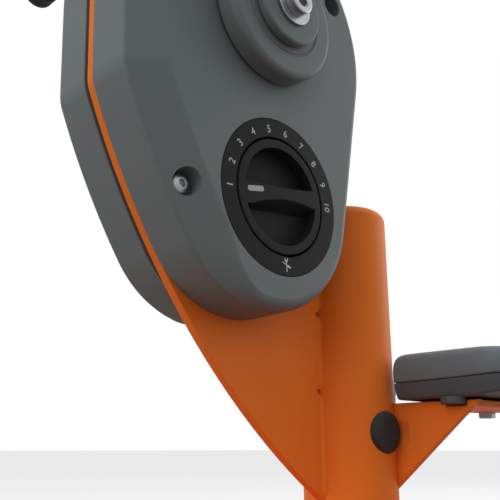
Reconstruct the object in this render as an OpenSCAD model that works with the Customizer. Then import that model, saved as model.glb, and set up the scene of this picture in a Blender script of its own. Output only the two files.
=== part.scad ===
// Hand grip strengthener station. It bolts to a bench. Two levers are squeezed towards a
// fixed handle bar against a spring, a dial sets the spring's load, and the elbows rest on
// two pads. Millimetres. Origin: the post's axis on the underside of the base. +Z is up,
// +X is towards the user, and the dial faces -Y.

/* [Base and post] */
// Length of the base plate, along X
base_l = 340; // [300:5:400]
// Width of the base plate, along Y
base_w = 220; // [200:5:260]
// Thickness of the base plate
base_t = 10; // [8:1:14]
// Bench bolt holes, centre to centre along X
bolt_dx = 290; // [260:5:340]
// Bench bolt holes, centre to centre along Y
bolt_dy = 170; // [150:5:200]
// Diameter of the bench bolt holes
bolt_hole_d = 11; // [9:1:13]
// Outside diameter of the post tube
post_d = 60.3; // [57:0.1:60.3]
// Wall of the post tube
post_wall = 4; // [3:0.5:5]
// Height of the post with its cap
post_h = 261; // [250:1:262]

/* [Frame plate] */
// Thickness of the frame plate
plate_t = 6; // [4:0.5:6]

/* [Casing] */
// From the middle of the frame plate to a shell's flat face
face_y = 39.1; // [38:0.1:42]
// Wall of the shells
wall = 3; // [2.5:0.5:3.5]
// Width of the soft chamfer band at the left edge
band_w = 22.8; // [16:0.1:22.8]
// Inset of the rounded rim everywhere else
rim_in = 7; // [5:1:8]

/* [Dial] */
// Distance of the dial's axis from the post's axis, along X
dial_off = 103; // [103:1:106]
// Height of the dial's axis
dial_z = 240; // [238:1:242]
// Outside diameter of the scale ring
ring_d = 92; // [90:1:94]
// Diameter of the knob
knob_d = 67.6; // [66:0.2:68]
// Width of the grip bar's foot across the knob
grip_bar_w = 14; // [14:1:20]

/* [Levers and handle] */
// Diameter of the pivot shaft
shaft_d = 20; // [18:1:22]
// Diameter of the lever hubs
hub_d = 84; // [80:1:100]
// Length of the levers, pivot to grip
lever_len = 117.5; // [110:0.5:120]
// Angle that the levers turn when squeezed
squeeze_angle = 13; // [8:1:14]
// Length of the hand grips
grip_len = 110; // [100:1:115]
// Diameter of the fixed grips
fixed_grip_d = 28; // [26:1:30]
// Diameter of the moving grips
moving_grip_d = 26; // [24:1:28]

/* [Spring] */
// Wire diameter of the load spring
wire_d = 2.4; // [2:0.2:2.8]
// Mean coil diameter of the load spring
coil_d = 18; // [16:1:18]
// Number of turns
coil_turns = 12; // [8:1:13]

/* [Pads] */
// Length of a pad, along X
pad_l = 122; // [100:1:130]
// Width of a pad, along Y
pad_w = 80.5; // [70:0.5:82]
// Height of the top of the pads
pad_top = 163; // [158:1:166]

/* [Hidden] */

orange = [0.85, 0.40, 0.12];
shell_grey = [0.36, 0.39, 0.39];
dial_black = [0.13, 0.13, 0.14];
steel = [0.75, 0.76, 0.78];
bronze = [0.72, 0.52, 0.28];
rubber_black = [0.09, 0.09, 0.10];
pad_grey = [0.31, 0.34, 0.39];

half_t = plate_t / 2;
dial_x = -dial_off;
post_r = post_d / 2;

// Outline of the casing, seen from the front, in arcs about the dial's axis. Each arc is
// centre x, centre z, radius, start and end angle of its outward normal, and steps. Its long
// left side runs along the frame plate's left edge, edge_arc, and the plate is set in there.
edge_arc = [312.9, 211.5, 447.9];
plate_in = 0.5;
side_r = edge_arc[2] + plate_in;
kink_r = 26;
kink_x = -104.5 + kink_r;
foot_r = 66.5;
foot_x = -5.5;
function lean(x, r) = acos((edge_arc[0] - x) / (side_r - r));
function beside(x, r) = edge_arc[1] - (side_r - r) * sin(lean(x, r));
casing_arcs = [
    [foot_x, beside(foot_x, foot_r), foot_r, 180 + lean(foot_x, foot_r), 349.4, 22],
    [-12.9, 110, 93.9, -10.6, 182.2, 26],
    [kink_x, beside(kink_x, kink_r), kink_r, 182.2, 180 + lean(kink_x, kink_r), 4],
    [edge_arc[0], edge_arc[1], side_r, 180 + lean(kink_x, kink_r), 180 + lean(foot_x, foot_r), 8]
];
pivot_x = dial_x - 10.2;
pivot_z = dial_z + casing_arcs[1][1];

// Depth below the face, rim inset and left band inset of the shell's levels
shell_levels = [
    [0, rim_in, band_w], [0.7, rim_in * 0.6, band_w * 0.92], [2.6, rim_in * 0.3, band_w * 0.68],
    [5.6, rim_in * 0.08, band_w * 0.3], [8.1, 0, 0.3], [20, -0.2, -0.2]
];
front_gap = 0.3;
rear_gap = 1.4;

// Places of the casing screws about the dial's axis
screw_at = [[-65.1, -7.3], [-72, 150], [52, 150]];
screw_d = 6;
screw_head_d = 12.4;
counterbore_d = 15;
screw_seat_y = 27.8;
screw_floor = 3;
pillar_d = 12;
screw_hole_d = 6.6;

// Dial
ring_flange = 3;
ring_seat_r = 37.4;
cup_floor_y = 24;
knob_depth = 12;
scoop_r = 28.6;
scoop_depth = 8.5;
knob_bore_r = knob_d / 2 + 1.2;
// Cut that rounds the bar's edge above each scoop: distance from the bar's middle to it,
// its radius, and how far along the bar it is nearest
lower_edge = [1.6, 82, 6];
upper_edge = [5.2, 300, 6];
knob_lean = 6.5;
spindle_d = 10;
detent_step = 20;
service_angle = -90;
full_angle = 180;

// Rack and pinion: module, teeth, and the thinning of each flank that gives backlash
gear_m = 1;
pinion_teeth = 16;
pinion_r = gear_m * pinion_teeth / 2;
flank_ease = 0.09;
gear_y0 = -19;
gear_y1 = -11;
slide_y0 = -7.7;
slide_y1 = -half_t - 0.2;
slide_down = pinion_r * full_angle * PI / 180;
slide_up = -pinion_r * service_angle * PI / 180;

// Spring arm, spring and its pins
arm_len = 32;
arm_w = 12;
arm_y0 = -33;
arm_y1 = -27;
pin_d = 6;
spring_y = -19;
spring_x = pivot_x - arm_len;
anchor_z = 268;
bumper_d = 10;
tail_len = 31;
bumper_r = 25;

// Levers. Angles are measured at the pivot from straight up, towards -X.
bush_flange = 2;
tube_half = 24;
hub_y0 = 40.3;
hub_y1 = 53.3;
lever_y1 = 59.3;
rod_d = 12;
grip_y0 = 63;
closed_lean = 9.3;
rest_lean = closed_lean + squeeze_angle;
bar_x = -100;
bar_z = 466;
bar_d = 22;
cap_len = 6;

// Pads
tray_t = 10.4;
pad_t = 20.4;
pad_in_y = 34.5;
pad_x = 1.5;
pad_r = 2.5;
pad_far_r = 22;
tray_gap = 1.4;
pad_bottom = pad_top - pad_t - tray_t;
flange_t = 4;
wing_x = 12;
wing_t = 5;
bolt_z = 112.7;

// The frame plate's tabs in the post's slots: the upper one is welded, the lower one pinned
tab_z = [[137.2, 186.4], [96, 130]];
tab_reach = [8, 43];

// ---- Helpers ----

// Stands a flat X-Z outline up as a slab from y0 to y1
module slab(y0, y1) {
    translate([0, y1, 0]) rotate([90, 0, 0]) linear_extrude(y1 - y0) children();
}

// Round bar along Y
module bar_y(x, z, d, y0, y1) {
    translate([x, y1, z]) rotate([90, 0, 0]) cylinder(d = d, h = y1 - y0, $fn = 72);
}

// The same thing on both sides of the frame plate
module both_sides() {
    children();
    mirror([0, 1, 0]) children();
}

// Outline with rounded corners; each point is [x, y, corner radius]
function unit(v) = v / norm(v);
function corner(p, q, r) =
    let (a = unit([p[0] - q[0], p[1] - q[1]]), b = unit([r[0] - q[0], r[1] - q[1]]),
         half = acos(min(1, max(-1, a * b))) / 2, reach = q[2] / tan(half),
         c = [q[0], q[1]] + unit(a + b) * q[2] / sin(half),
         s = [q[0], q[1]] + a * reach - c, e = [q[0], q[1]] + b * reach - c,
         t0 = atan2(s[1], s[0]), t1 = atan2(e[1], e[0]),
         turn = t1 - t0 > 180 ? t1 - t0 - 360 : t1 - t0 < -180 ? t1 - t0 + 360 : t1 - t0,
         n = max(2, ceil(abs(turn) / 9)))
    q[2] <= 0 ? [[q[0], q[1]]]
    : [for (i = [0:n]) c + q[2] * [cos(t0 + turn * i / n), sin(t0 + turn * i / n)]];
function rounded(pts) =
    [for (i = [0:len(pts) - 1])
        each corner(pts[(i + len(pts) - 1) % len(pts)], pts[i], pts[(i + 1) % len(pts)])];

// ---- Base and post ----

module base_plate() {
    hx = base_l / 2;
    hy = base_w / 2;
    mid_x = -60;
    color(orange) difference() {
        translate([mid_x, 0, 0]) linear_extrude(base_t)
            polygon(rounded([[-hx, -hy, 24], [hx, -hy, 24], [hx, hy, 24], [-hx, hy, 24]]));
        for (sx = [-1, 1], sy = [-1, 1])
            translate([mid_x + sx * bolt_dx / 2, sy * bolt_dy / 2, -1])
                cylinder(d = bolt_hole_d, h = base_t + 2, $fn = 48);
    }
}

module foot_ribs() {
    rib_t = 5;
    rib_h = 46;
    rib_l = 40;
    color(orange) for (a = [45:90:315]) rotate([0, 0, a])
        slab(-rib_t / 2, rib_t / 2) polygon([[post_r + 0.12, base_t], [post_r + rib_l, base_t],
            [post_r + rib_l, base_t + 6], [post_r + 0.12, base_t + rib_h]]);
}

module post_tube() {
    color(orange) difference() {
        translate([0, 0, base_t]) cylinder(d = post_d, h = post_h - base_t - 8, $fn = 128);
        translate([0, 0, base_t - 1])
            cylinder(d = post_d - 2 * post_wall, h = post_h, $fn = 128);
        bar_y(0, bolt_z, 10.4, -post_r - 1, post_r + 1);
        for (t = tab_z) translate([-post_r - 1, -half_t - 0.1, t[0] - 0.2])
            cube([post_wall + 4, plate_t + 0.2, t[1] - t[0] + 0.4]);
    }
}

module post_cap() {
    edge = 7;
    plug_r = post_r - post_wall - 0.1;
    z0 = post_h - 8;
    color(orange) rotate_extrude($fn = 128)
        polygon(concat([[0, z0 - 12], [plug_r, z0 - 12], [plug_r, z0], [post_r, z0]],
            [for (a = [0:15:90])
                [post_r - edge + edge * cos(a), post_h - edge + edge * sin(a)]],
            [[0, post_h]]));
}

// ---- Casing outline ----

// How far round a normal angle belongs to the left chamfer band: 1 there, 0 elsewhere
function smooth(t) = let (c = min(1, max(0, t))) c * c * (3 - 2 * c);
function band_share(a) = let (t = (a + 360) % 360)
    smooth((t - 40) / 60) * smooth((265 - t) / 50);
function casing_outline(rim, band) =
    [for (a = casing_arcs) for (i = [0:a[5]])
        let (t = a[3] + (a[4] - a[3]) * i / a[5], r = a[2] - rim - (band - rim) * band_share(t))
        [dial_x + a[0] + r * cos(t), dial_z + a[1] + r * sin(t)]];

// ---- Frame plate ----

mast_r = 22;
seam_x = -post_r - 0.1;
// The web's left edge below the casing: a flatter arc that carries on from edge_arc
web_arc = [318.96, 215, 454.9];
web_top = 210;
web_foot = 360 - acos((seam_x - dial_x - web_arc[0]) / web_arc[2]);
web_steps = 16;
module frame_plate() {
    relief = 3;
    color(orange) difference() {
        slab(-half_t, half_t) difference() {
            union() {
                polygon(casing_outline(plate_in, plate_in));
                polygon(concat([for (i = [0:web_steps])
                    let (t = web_top + (web_foot - web_top) * i / web_steps)
                    [dial_x + web_arc[0] + web_arc[2] * cos(t),
                        dial_z + web_arc[1] + web_arc[2] * sin(t)]],
                    [[seam_x, post_h - 22], [dial_x + 40, dial_z + 60]]));
                polygon(rounded([[bar_x - 62, dial_z + 180, 0], [bar_x + 50, dial_z + 180, 0],
                    [bar_x + mast_r + 5, bar_z - 26, 14], [bar_x + mast_r, bar_z + mast_r, 20],
                    [bar_x - mast_r, bar_z + mast_r, 20], [bar_x - mast_r - 5, bar_z - 26, 14]]));
                for (t = [0, 1])
                    translate([seam_x - 1, tab_z[t][0]])
                        square([tab_reach[t], tab_z[t][1] - tab_z[t][0]]);
            }
            for (z = tab_z[0])
                translate([seam_x - relief, z - relief / 2]) square([relief + 0.1, relief]);
        }
        bar_y(0, bolt_z, 10.4, -10, 10);
        bar_y(pivot_x, pivot_z, 40, -10, 10);
        bar_y(dial_x, dial_z, 14, -10, 10);
        bar_y(bar_x, bar_z, bar_d, -10, 10);
        for (s = screw_at) bar_y(dial_x + s[0], dial_z + s[1], pillar_d, -10, 10);
        for (p = concat(guide_at, bumper_at, [[leaf_x, leaf_z]])) bar_y(p[0], p[1], 5, -10, 10);
    }
}

module pivot_tube() {
    color(orange) difference() {
        bar_y(pivot_x, pivot_z, 40, -tube_half, tube_half);
        bar_y(pivot_x, pivot_z, shaft_d + 6, -tube_half - 1, tube_half + 1);
    }
}

module pivot_bushes() {
    color(bronze) both_sides() difference() {
        union() {
            bar_y(pivot_x, pivot_z, shaft_d + 6, -tube_half, -tube_half + 16);
            bar_y(pivot_x, pivot_z, shaft_d + 14, -tube_half - bush_flange, -tube_half);
        }
        bar_y(pivot_x, pivot_z, shaft_d + 0.1, -tube_half - 5, -tube_half + 20);
    }
}

// ---- Casing shells ----

// Solid inside of a shell's outer skin, or with in > 0 its cavity, open towards the plate
module shell_form(in, open_y) {
    hull() {
        for (lv = shell_levels)
            slab(-face_y + lv[0] + in, -face_y + lv[0] + in + 0.02)
                polygon(casing_outline(lv[1] + in, lv[2] + in));
        slab(open_y - 0.02, open_y) polygon(casing_outline(-0.4 + in, -0.4 + in));
    }
}

module shell(gap) {
    difference() {
        shell_form(0, -half_t - gap);
        difference() {
            shell_form(wall, -half_t + 1);
            for (s = screw_at)
                bar_y(dial_x + s[0], dial_z + s[1], counterbore_d + 2 * wall, -face_y,
                    -screw_seat_y + screw_floor);
        }
        for (s = screw_at) {
            bar_y(dial_x + s[0], dial_z + s[1], counterbore_d, -face_y - 1, -screw_seat_y);
            bar_y(dial_x + s[0], dial_z + s[1], screw_hole_d, -face_y, -10);
        }
        bar_y(pivot_x, pivot_z, shaft_d + 2, -face_y - 1, -face_y + wall + 1);
    }
}

module housing_front() {
    slot_w = 2;
    slot_z = [1, 15];
    seat_y = -face_y + ring_flange + 0.1;
    color(shell_grey) difference() {
        union() {
            difference() {
                shell(front_gap);
                bar_y(dial_x, dial_z, ring_d + 0.5, -face_y - 1, -face_y + wall + 1);
            }
            difference() {
                bar_y(dial_x, dial_z, ring_d + 8, seat_y, seat_y + 3.1);
                bar_y(dial_x, dial_z, 2 * ring_seat_r, seat_y - 1, seat_y + 5);
            }
        }
        translate([dial_x + 58, -30, dial_z + slot_z[0]])
            cube([8, slot_w, slot_z[1] - slot_z[0]]);
    }
}

module housing_rear() {
    color(shell_grey) mirror([0, 1, 0]) shell(rear_gap);
}

module housing_pillars() {
    tip = screw_seat_y - screw_floor;
    color(steel) for (s = screw_at) difference() {
        bar_y(dial_x + s[0], dial_z + s[1], pillar_d, -tip, tip);
        both_sides() bar_y(dial_x + s[0], dial_z + s[1], screw_d, -tip - 1, -tip + 15);
    }
}

module housing_screws() {
    head_h = 3.6;
    socket_d = 4.6;
    color(steel) both_sides() for (s = screw_at)
        translate([dial_x + s[0], -screw_seat_y, dial_z + s[1]]) rotate([90, 0, 0])
            difference() {
                union() {
                    rotate_extrude($fn = 48) polygon(concat([[0, 0], [screw_head_d / 2, 0]],
                        [for (a = [0:15:60]) [screw_head_d / 2 * cos(a),
                            0.9 + (head_h - 0.9) * sin(a) / sin(60)]], [[0, head_h]]));
                    translate([0, 0, -14]) cylinder(d = screw_d - 0.1, h = 14.1, $fn = 48);
                }
                translate([0, 0, head_h - 2.2]) cylinder(d = socket_d, h = 3, $fn = 6);
            }
}

// ---- Dial ----

module dial_ring() {
    cup_r = ring_seat_r - 0.2;
    color(dial_black) difference() {
        union() {
            bar_y(dial_x, dial_z, ring_d, -face_y, -face_y + ring_flange);
            bar_y(dial_x, dial_z, 2 * cup_r, -face_y, -cup_floor_y);
        }
        bar_y(dial_x, dial_z, 2 * knob_bore_r, -face_y - 1, -cup_floor_y - 2);
        bar_y(dial_x, dial_z, spindle_d + 0.1, -face_y, -cup_floor_y + 1);
    }
}

// Turns the knob's own shape so that its bar lies towards the number 1
module leaning() {
    translate([dial_x, 0, dial_z]) rotate([0, -knob_lean, 0]) children();
}

// Finger scoop below the grip bar, about the dial's axis. Its wall slopes up from the bar's
// straight foot to the bar's top, which a wide round cut narrows.
module scoop(edge) {
    slope = grip_bar_w / 2 - edge[0];
    side = norm([slope, scoop_depth]);
    centre = [-face_y - edge[1] * slope / side, -edge[0] - edge[1] * scoop_depth / side];
    intersection() {
        bar_y(0, 0, 2 * scoop_r, -face_y - 1, -face_y + scoop_depth);
        union() {
            translate([-40, -face_y - 2, -40]) cube([80, scoop_depth + 4, 40 - grip_bar_w / 2]);
            translate([edge[2], centre[0], centre[1]])
                rotate([90 + atan2(slope, scoop_depth), 0, 0])
                    cylinder(r = edge[1], h = 80, center = true, $fn = edge[1] * 2.4);
        }
    }
}

pointer = [12.4, 3.2];
pointer_at = [-20.5, -0.5];
pointer_lean = 12;
module pointer_slab(y0, y1) {
    l = pointer[0] / 2;
    h = pointer[1] / 2;
    r = 1.4;
    translate([dial_x + pointer_at[0], 0, dial_z + pointer_at[1]]) rotate([0, -pointer_lean, 0])
        slab(y0, y1) polygon(rounded([[-l, -h, r], [l, -h, r], [l, h, r], [-l, h, r]]));
}

module dial_knob() {
    color(dial_black) difference() {
        bar_y(dial_x, dial_z, knob_d, -face_y, -face_y + knob_depth);
        leaning() {
            scoop(lower_edge);
            rotate([0, 180, 0]) scoop(upper_edge);
        }
        pointer_slab(-face_y - 1, -face_y + 1.2);
        bar_y(dial_x, dial_z, spindle_d, -face_y + 5, -face_y + knob_depth + 1);
    }
}

module dial_pointer() {
    color([0.72, 0.72, 0.71]) pointer_slab(-face_y - 0.1, -face_y + 1.2);
}

// Pinion outline with 20 degree flanks, its tooth 0 pointing along +X
function involute(rb, t) = rb * [cos(t) + t * PI / 180 * sin(t), sin(t) - t * PI / 180 * cos(t)];
function turned(p, a) = [p[0] * cos(a) - p[1] * sin(a), p[0] * sin(a) + p[1] * cos(a)];
base_r = pinion_r * cos(20);
tip_r = pinion_r + gear_m * 0.95;
root_r = pinion_r - gear_m * 1.25;
flare = (tan(20) - 20 * PI / 180) * 180 / PI;
half_tooth = 90 / pinion_teeth - flank_ease / pinion_r * 180 / PI;
tip_roll = sqrt(tip_r * tip_r / (base_r * base_r) - 1) * 180 / PI;
function flank(s) = [for (i = [0:5])
    let (p = involute(base_r, tip_roll * i / 5), q = turned([p[0], -s * p[1]], s * (half_tooth + flare)))
    q];
function tooth() = concat([root_r * [cos(half_tooth + flare + 1), -sin(half_tooth + flare + 1)]],
    flank(-1), [for (i = [5:-1:0]) flank(1)[i]],
    [root_r * [cos(half_tooth + flare + 1), sin(half_tooth + flare + 1)]]);
module pinion_2d() {
    polygon([for (k = [0:pinion_teeth - 1]) for (p = tooth()) turned(p, k * 360 / pinion_teeth)]);
}

module dial_spindle() {
    color(steel) union() {
        bar_y(dial_x, dial_z, spindle_d, -face_y + 5, gear_y0);
        translate([dial_x, 0, dial_z]) slab(gear_y0, gear_y1) pinion_2d();
        bar_y(dial_x, dial_z, 8, gear_y1, half_t + 4);
    }
}

module spindle_bush() {
    color(bronze) difference() {
        union() {
            bar_y(dial_x, dial_z, 14, -half_t, half_t);
            bar_y(dial_x, dial_z, 20, half_t, half_t + 2);
        }
        bar_y(dial_x, dial_z, 8.1, -10, 10);
    }
}

// The detent disc has a notch for each number and one for the service mark
disc_r = 19;
module detent_disc() {
    notch_at = concat([for (a = [0:detent_step:full_angle]) a], [service_angle]);
    color(steel) difference() {
        bar_y(dial_x, dial_z, 2 * disc_r, -23.4, -21);
        bar_y(dial_x, dial_z, spindle_d, -30, -15);
        for (a = notch_at) translate([dial_x, 0, dial_z]) rotate([0, -a, 0])
            bar_y(0, disc_r + 1, 5.4, -30, -15);
    }
}

// Leaf spring on a stud above the disc, its round tip resting in a notch
leaf_x = dial_x + 24;
leaf_z = dial_z + 26;
module detent_spring() {
    tip_z = dial_z + disc_r + 1.1;
    color(steel) union() {
        bar_y(leaf_x, leaf_z, 8, -23.6, -half_t);
        bar_y(leaf_x, leaf_z, 5, -half_t, half_t);
        slab(-23.2, -21.2) polygon([[leaf_x, leaf_z + 3], [dial_x - 3, tip_z + 2.2],
            [dial_x - 3, tip_z + 1.2], [leaf_x, leaf_z + 2]]);
        bar_y(dial_x, tip_z, 5, -23.2, -21.2);
    }
}

// ---- Anchor slide ----

slide_x0 = spring_x - 6;
slide_x1 = dial_x + pinion_r + 10;
slide_z0 = 211;
slide_z1 = 289;
guide_x = dial_x - 22;
guide_at = [[guide_x, 236], [guide_x, 252]];
slot_w = 6.4;

// Rack outline: teeth point to -X, a space faces the pinion's tooth 0 at the dial's height
function rack_teeth(n) = [for (k = [-n:n])
    let (z = dial_z + (k + 0.5) * PI * gear_m, h = PI * gear_m / 4 - flank_ease,
         x = dial_x + pinion_r, add = gear_m * 0.95, ded = gear_m * 1.2, t = tan(20))
    each [[x + ded, z - h - ded * t], [x - add, z - h + add * t],
        [x - add, z + h - add * t], [x + ded, z + h + ded * t]]];
module slot_cut(x, z0, z1, w) {
    slab(slide_y0 - 1, slide_y1 + 1) polygon(rounded([[x - w / 2, z0 - w / 2, w * 0.49],
        [x + w / 2, z0 - w / 2, w * 0.49], [x + w / 2, z1 + w / 2, w * 0.49],
        [x - w / 2, z1 + w / 2, w * 0.49]]));
}
module anchor_slide() {
    rack_n = 10;
    x_back = slide_x1 - 1;
    teeth = rack_teeth(rack_n);
    color([0.62, 0.63, 0.65]) difference() {
        union() {
            slab(slide_y0, slide_y1) polygon(rounded([[guide_x - 8, slide_z0, 3],
                [slide_x1, slide_z0, 3], [slide_x1, slide_z1, 3], [guide_x - 8, slide_z1, 3],
                [guide_x - 8, anchor_z + 8, 4], [slide_x0, anchor_z + 8, 5],
                [slide_x0, anchor_z - 8, 5], [guide_x - 8, anchor_z - 22, 4]]));
            slab(gear_y0, slide_y0) polygon(concat(teeth,
                [[x_back, teeth[len(teeth) - 1][1] + 1], [x_back, teeth[0][1] - 1]]));
        }
        slot_cut(guide_x, guide_at[0][1] - slide_up, guide_at[1][1] + slide_down, slot_w);
        slot_cut(dial_x, dial_z - slide_up, dial_z + slide_down, 9);
        bar_y(spring_x, anchor_z, pin_d, slide_y0 - 1, slide_y1 + 1);
    }
}

// A pin that holds one eye of the load spring, with a collar behind the eye
module eye_pin(z, y0, y1, collar_y) {
    bar_y(spring_x, z, pin_d, y0, y1);
    bar_y(spring_x, z, pin_d + 4, collar_y, collar_y + 1.5);
}

module anchor_pin() {
    color(steel) eye_pin(anchor_z, spring_y - 7, slide_y1, spring_y - 7);
}

module guide_screws() {
    color(steel) for (g = guide_at) {
        bar_y(g[0], g[1], slot_w - 0.1, slide_y0 - 0.2, -half_t);
        bar_y(g[0], g[1], 10, slide_y0 - 3, slide_y0 - 0.2);
        bar_y(g[0], g[1], 5, -half_t, half_t);
    }
}

// ---- Load spring: an extension spring with an eye at each end ----

eye_r = 4.4;
coil_z0 = anchor_z + 14;
coil_z1 = pivot_z - 14;
coil_pitch = (coil_z1 - coil_z0) / coil_turns;
ring_steps = 8;
wire_sides = 6;
function coil_ring(k) =
    let (a = 360 * k / ring_steps, z = coil_z0 + coil_pitch * k / ring_steps)
    [for (j = [0:wire_sides - 1])
        let (b = 360 * j / wire_sides, r = (coil_d + wire_d * cos(b)) / 2)
        [r * cos(a), r * sin(a), z + wire_d / 2 * sin(b)]];

module coil() {
    last = coil_turns * ring_steps;
    pts = [for (k = [0:last]) each coil_ring(k)];
    n = wire_sides;
    sides = [for (k = [0:last - 1], j = [0:n - 1])
        let (a = k * n + j, b = k * n + (j + 1) % n)
        each [[a, b, a + n], [b, b + n, a + n]]];
    ends = [for (j = [1:n - 2]) each [[0, j + 1, j], [last * n, last * n + j, last * n + j + 1]]];
    polyhedron(pts, concat(sides, ends));
}

// Straight wire along the coil's end and up or down to an eye round its pin
module eye(z, coil_end, dir) {
    translate([spring_x, spring_y, coil_end]) {
        rotate([0, 90, 0]) translate([0, 0, -wire_d / 2])
            cylinder(d = wire_d, h = (coil_d + wire_d) / 2, $fn = 24);
        rotate([dir > 0 ? 0 : 180, 0, 0])
            cylinder(d = wire_d, h = abs(z - coil_end) - eye_r, $fn = 24);
    }
    translate([spring_x, spring_y, z]) rotate([90, 0, 0]) rotate_extrude($fn = 48)
        translate([eye_r, 0]) circle(d = wire_d, $fn = 24);
}

module load_spring() {
    color(steel) union() {
        translate([spring_x, spring_y, 0]) coil();
        eye(pivot_z, coil_z1, 1);
        eye(anchor_z, coil_z0, -1);
    }
}

// ---- Pivot ----

module spring_arm() {
    color([0.62, 0.63, 0.65]) difference() {
        union() {
            bar_y(pivot_x, pivot_z, shaft_d + 14, arm_y0, arm_y1);
            bar_y(spring_x, pivot_z, arm_w + 2, arm_y0, arm_y1);
            translate([spring_x, arm_y0, pivot_z - arm_w / 2])
                cube([arm_len + tail_len, arm_y1 - arm_y0, arm_w]);
        }
        bar_y(pivot_x, pivot_z, shaft_d, arm_y0 - 1, arm_y1 + 1);
        bar_y(spring_x, pivot_z, pin_d, arm_y0 - 1, arm_y1 + 1);
    }
}

module arm_pin() {
    color(steel) eye_pin(pivot_z, arm_y0, spring_y + 7, spring_y + 5.5);
}

// The arm's tail rests on the upper bumper and is stopped by the lower one
bumper_gap = 0.3;
bumper_off = arm_w / 2 + bumper_d / 2 + bumper_gap;
bumper_at = [
    [pivot_x + bumper_r, pivot_z + bumper_off],
    [pivot_x + bumper_r * cos(squeeze_angle) - bumper_off * sin(squeeze_angle),
     pivot_z - bumper_r * sin(squeeze_angle) - bumper_off * cos(squeeze_angle)]
];
module stop_bumpers() {
    color(rubber_black) for (b = bumper_at) {
        bar_y(b[0], b[1], bumper_d, arm_y0 - 0.5, -half_t);
        bar_y(b[0], b[1], 5, -half_t, half_t);
    }
}

shaft_half = hub_y1 - 1;
module pivot_shaft() {
    color(steel) difference() {
        bar_y(pivot_x, pivot_z, shaft_d, -shaft_half, shaft_half);
        both_sides() bar_y(pivot_x, pivot_z, 10, -shaft_half - 1, -shaft_half + 20);
    }
}

module shaft_collar() {
    color(steel) difference() {
        bar_y(pivot_x, pivot_z, shaft_d + 12, tube_half + bush_flange + 0.5, 34);
        bar_y(pivot_x, pivot_z, shaft_d, 20, 40);
    }
}

// ---- Hubs, levers and moving grips ----

module hub() {
    edge = 4;
    r = hub_d / 2;
    h = hub_y1 - hub_y0;
    translate([pivot_x, -hub_y0, pivot_z]) rotate([90, 0, 0]) rotate_extrude($fn = 128)
        polygon(concat([[shaft_d / 2, 0], [r, 0]],
            [for (a = [0:15:90]) [r - edge + edge * cos(a), h - edge + edge * sin(a)]],
            [[shaft_d / 2, h]]));
}
module hub_front() { color(shell_grey) hub(); }
module hub_rear() { color(shell_grey) mirror([0, 1, 0]) hub(); }

module hub_bolts() {
    color(steel) both_sides() difference() {
        union() {
            bar_y(pivot_x, pivot_z, 10, -lever_y1, -shaft_half + 16);
            bar_y(pivot_x, pivot_z, 26, -lever_y1 - 2, -lever_y1);
            bar_y(pivot_x, pivot_z, 17, -lever_y1 - 8, -lever_y1 - 2);
        }
        translate([pivot_x, -lever_y1 - 3, pivot_z]) rotate([90, 0, 0])
            cylinder(d = 9.2, h = 8, $fn = 6);
    }
}

// Place of the moving grip's axis, seen from the pivot
grip_x = pivot_x - lever_len * sin(rest_lean);
grip_z = pivot_z + lever_len * cos(rest_lean);
module lever() {
    r0 = 24;
    r1 = 13;
    across = [cos(rest_lean), sin(rest_lean)];
    foot = [pivot_x, pivot_z];
    head = [grip_x, grip_z];
    difference() {
        union() {
            bar_y(pivot_x, pivot_z, 2 * r0, -lever_y1, -hub_y1);
            bar_y(grip_x, grip_z, 2 * r1, -lever_y1, -hub_y1);
            slab(-lever_y1, -hub_y1) polygon([foot - across * r0, foot + across * r0,
                head + across * r1, head - across * r1]);
        }
        bar_y(pivot_x, pivot_z, 10, -lever_y1 - 1, -hub_y1 + 1);
        bar_y(grip_x, grip_z, rod_d, -lever_y1 - 1, -hub_y1 + 1);
    }
}
module lever_front() { color(shell_grey) lever(); }
module lever_rear() { color(shell_grey) mirror([0, 1, 0]) lever(); }

module grip_rods() {
    color(steel) both_sides() bar_y(grip_x, grip_z, rod_d, -grip_y0 - grip_len, -hub_y1);
}

// Hand grip: a sleeve with a flange at its inner end and shallow finger grooves
module grip(x, z, d, bore) {
    grooves = 4;
    difference() {
        union() {
            bar_y(x, z, d, -grip_y0 - grip_len, -grip_y0);
            bar_y(x, z, d + 5, -grip_y0 - 4, -grip_y0);
        }
        bar_y(x, z, bore, -grip_y0 - grip_len - 1, -grip_y0 + 1);
        for (i = [0:grooves])
            translate([x, -grip_y0 - 14 - i * (grip_len - 24) / grooves, z]) rotate([90, 0, 0])
                rotate_extrude($fn = 72) translate([d / 2 + 0.9, 0]) circle(r = 2, $fn = 24);
    }
}
module moving_grip_front() { color(rubber_black) grip(grip_x, grip_z, moving_grip_d, rod_d); }
module moving_grip_rear() {
    color(rubber_black) mirror([0, 1, 0]) grip(grip_x, grip_z, moving_grip_d, rod_d);
}
module fixed_grip_front() { color(rubber_black) grip(bar_x, bar_z, fixed_grip_d, bar_d); }
module fixed_grip_rear() {
    color(rubber_black) mirror([0, 1, 0]) grip(bar_x, bar_z, fixed_grip_d, bar_d);
}

// Round cap that closes the outer end of a grip
module end_cap(x, z, d) {
    edge = 3;
    translate([x, -grip_y0 - grip_len, z]) rotate([90, 0, 0]) rotate_extrude($fn = 72)
        polygon(concat([[0, 0], [d / 2, 0]],
            [for (a = [0:18:90]) [d / 2 - edge + edge * cos(a), cap_len - edge + edge * sin(a)]],
            [[0, cap_len]]));
}
module moving_grip_caps() {
    color(rubber_black) both_sides() end_cap(grip_x, grip_z, moving_grip_d);
}

module handle_bar() {
    end = grip_y0 + grip_len;
    color(steel) difference() {
        bar_y(bar_x, bar_z, bar_d, -end, end);
        bar_y(bar_x, bar_z, bar_d - 5, -end - 1, end + 1);
    }
}

module handle_plugs() {
    end = grip_y0 + grip_len;
    color(rubber_black) both_sides() {
        end_cap(bar_x, bar_z, fixed_grip_d);
        bar_y(bar_x, bar_z, bar_d - 5, -end, -end + 14);
    }
}

// ---- Pads ----

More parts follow.
